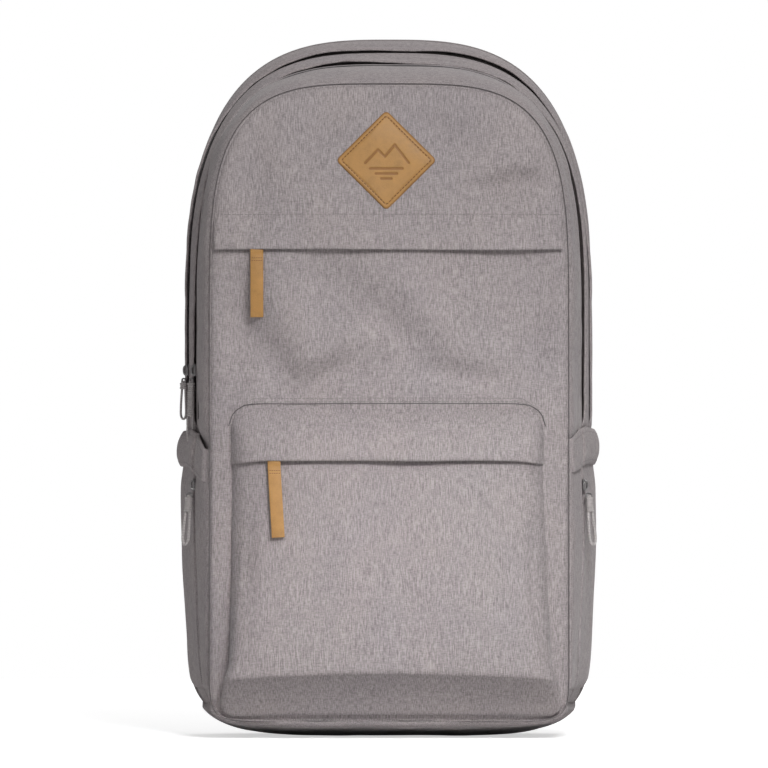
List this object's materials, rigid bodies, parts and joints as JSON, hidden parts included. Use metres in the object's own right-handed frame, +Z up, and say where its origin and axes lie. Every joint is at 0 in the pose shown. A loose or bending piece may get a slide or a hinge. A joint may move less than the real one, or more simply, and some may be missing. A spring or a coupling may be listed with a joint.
{
  "type": "daypack",
  "caption": "Tall arched daypack with a fold-down front, flapped and zipped pockets, side bands, leather pulls, padded back, haul handle and shoulder straps.",
  "frame": {"origin": "on the ground, at the middle of the outer box in X and Y", "axes": "+Z up, -Y towards the front pockets, +Y towards the wearer, +X to the right as seen from the front"},
  "size_m": [0.3024, 0.2225, 0.5024],
  "materials": {
    "shell_fabric": "matt heather weave",
    "base_fabric": "matt coated weave",
    "strap_fabric": "matt weave",
    "lining": "smooth plain weave",
    "air_mesh": "open knit",
    "webbing": "ribbed",
    "piping": "matt",
    "leather": "satin",
    "zip_tape": "matt",
    "zip_metal": "satin",
    "cord": "braided",
    "buckle_plastic": "matt"
  },
  "bodies": {
    "shell": {"back_pads": "air_mesh", "back_panel": "shell_fabric", "back_piping": "piping", "base_patch": "base_fabric", "bottom_panel": "shell_fabric", "divider": "lining", "front_panel_lower": "shell_fabric", "lower_pocket": "shell_fabric", "lower_zip": "zip_tape", "lumbar_pad": "air_mesh", "main_zip_rear_tape": "zip_tape", "middle_gusset": "shell_fabric", "rear_gusset": "shell_fabric", "rear_zip": "zip_tape", "side_band_left": "shell_fabric", "side_band_right": "shell_fabric", "side_panel_left": "shell_fabric", "side_panel_right": "shell_fabric", "side_pocket_left": "shell_fabric", "side_pocket_right": "shell_fabric", "side_zip_left": "zip_tape", "side_zip_right": "zip_tape", "strap_roots": "shell_fabric", "strap_wings": "strap_fabric", "yoke": "shell_fabric"},
    "front_lid": {"front_gusset": "shell_fabric", "main_zip_front_tape": "zip_tape", "front_panel_upper": "shell_fabric", "front_panel_middle": "shell_fabric", "upper_pocket_lining": "lining", "upper_zip": "zip_tape", "leather_patch": "leather"},
    "upper_flap": {"upper_flap": "shell_fabric"},
    "upper_slider": {"upper_slider": "zip_metal"},
    "upper_pull": {"upper_pull": "leather"},
    "lower_flap": {"lower_flap": "shell_fabric"},
    "lower_slider": {"lower_slider": "zip_metal"},
    "lower_pull": {"lower_pull": "leather"},
    "main_slider": {"main_slider": "zip_metal"},
    "main_pull": {"main_pull": "cord"},
    "rear_slider": {"rear_slider": "zip_metal"},
    "rear_pull": {"rear_pull": "cord"},
    "haul_handle": {"haul_handle": "webbing"},
    "side_slider_left": {"side_slider_left": "zip_metal"},
    "side_pull_left": {"side_pull_left": "cord"},
    "strap_left": {"shoulder_strap_left": "strap_fabric", "ladder_lock_left": "buckle_plastic", "lower_webbing_left": "webbing", "chest_keeper_left": "webbing"},
    "chest_left": {"chest_web_left": "webbing", "chest_buckle_male": "buckle_plastic"},
    "side_slider_right": {"side_slider_right": "zip_metal"},
    "side_pull_right": {"side_pull_right": "cord"},
    "strap_right": {"shoulder_strap_right": "strap_fabric", "ladder_lock_right": "buckle_plastic", "lower_webbing_right": "webbing", "chest_keeper_right": "webbing"},
    "chest_right": {"chest_web_right": "webbing", "chest_buckle_female": "buckle_plastic"}
  },
  "joints": [
    {"name": "front_opens", "type": "hinge", "parent": "shell", "child": "front_lid", "pos_m": [0, -0.071, 0.24], "axis": [1, 0, 0], "range_deg": [0, 60]},
    {"name": "upper_flap_lifts", "type": "hinge", "parent": "front_lid", "child": "upper_flap", "pos_m": [0, -0.06729, 0.36788], "axis": [-1, 0, 0], "range_deg": [0, 100]},
    {"name": "upper_zip_slides", "type": "slide", "parent": "front_lid", "child": "upper_slider", "axis": [1, 0, 0], "range_m": [0, 0.188]},
    {"name": "upper_pull_swings", "type": "hinge", "parent": "upper_slider", "child": "upper_pull", "pos_m": [-0.094, -0.07118, 0.34302], "axis": [-1, 0, 0], "range_deg": [0, 70]},
    {"name": "lower_flap_lifts", "type": "hinge", "parent": "shell", "child": "lower_flap", "pos_m": [0, -0.07358, 0.23573], "axis": [-1, 0, 0], "range_deg": [0, 60]},
    {"name": "lower_zip_slides", "type": "slide", "parent": "shell", "child": "lower_slider", "axis": [1, 0, 0], "range_m": [0, 0.165]},
    {"name": "lower_pull_swings", "type": "hinge", "parent": "lower_slider", "child": "lower_pull", "pos_m": [-0.081, -0.09886, 0.19401], "axis": [-1, 0, 0], "range_deg": [0, 70]},
    {"name": "main_zip_slides", "type": "slide", "parent": "shell", "child": "main_slider", "axis": [0, 0.012, 0.9999], "range_m": [0, 0.06]},
    {"name": "main_pull_swings", "type": "hinge", "parent": "main_slider", "child": "main_pull", "pos_m": [-0.1417, -0.00646, 0.2537], "axis": [0, 1, 0], "range_deg": [0, 80]},
    {"name": "rear_zip_slides", "type": "slide", "parent": "shell", "child": "rear_slider", "axis": [0, 0.004, 1], "range_m": [0, 0.06]},
    {"name": "rear_pull_swings", "type": "hinge", "parent": "rear_slider", "child": "rear_pull", "pos_m": [-0.1477, 0.02345, 0.2537], "axis": [0, 1, 0], "range_deg": [0, 80]},
    {"name": "side_zip_left_slides", "type": "slide", "parent": "shell", "child": "side_slider_left", "axis": [0, 0, -1], "range_m": [0, 0.08]},
    {"name": "side_pull_left_swings", "type": "hinge", "parent": "side_slider_left", "child": "side_pull_left", "pos_m": [-0.14161, -0.0296, 0.1721], "axis": [0, 1, 0], "range_deg": [0, 80]},
    {"name": "side_zip_right_slides", "type": "slide", "parent": "shell", "child": "side_slider_right", "axis": [0, 0, -1], "range_m": [0, 0.08]},
    {"name": "side_pull_right_swings", "type": "hinge", "parent": "side_slider_right", "child": "side_pull_right", "pos_m": [0.14161, -0.0296, 0.1721], "axis": [0, -1, 0], "range_deg": [0, 80]},
    {"name": "haul_handle_lifts", "type": "hinge", "parent": "shell", "child": "haul_handle", "pos_m": [0, 0.0644, 0.478], "axis": [1, 0, 0], "range_deg": [0, 150]},
    {"name": "strap_left_swings", "type": "hinge", "parent": "shell", "child": "strap_left", "pos_m": [-0.057, 0.0764, 0.43], "axis": [-0.1601, -0.0276, -0.9867], "range_deg": [-10, 10]},
    {"name": "chest_left_swings", "type": "hinge", "parent": "strap_left", "child": "chest_left", "pos_m": [-0.022, 0.1041, 0.31], "axis": [0, 1, 0], "range_deg": [0, 75]},
    {"name": "strap_right_swings", "type": "hinge", "parent": "shell", "child": "strap_right", "pos_m": [0.057, 0.0764, 0.43], "axis": [0.1601, -0.0276, -0.9867], "range_deg": [-10, 10]},
    {"name": "chest_right_swings", "type": "hinge", "parent": "strap_right", "child": "chest_right", "pos_m": [0.022, 0.1041, 0.31], "axis": [0, -1, 0], "range_deg": [0, 75]}
  ]
}
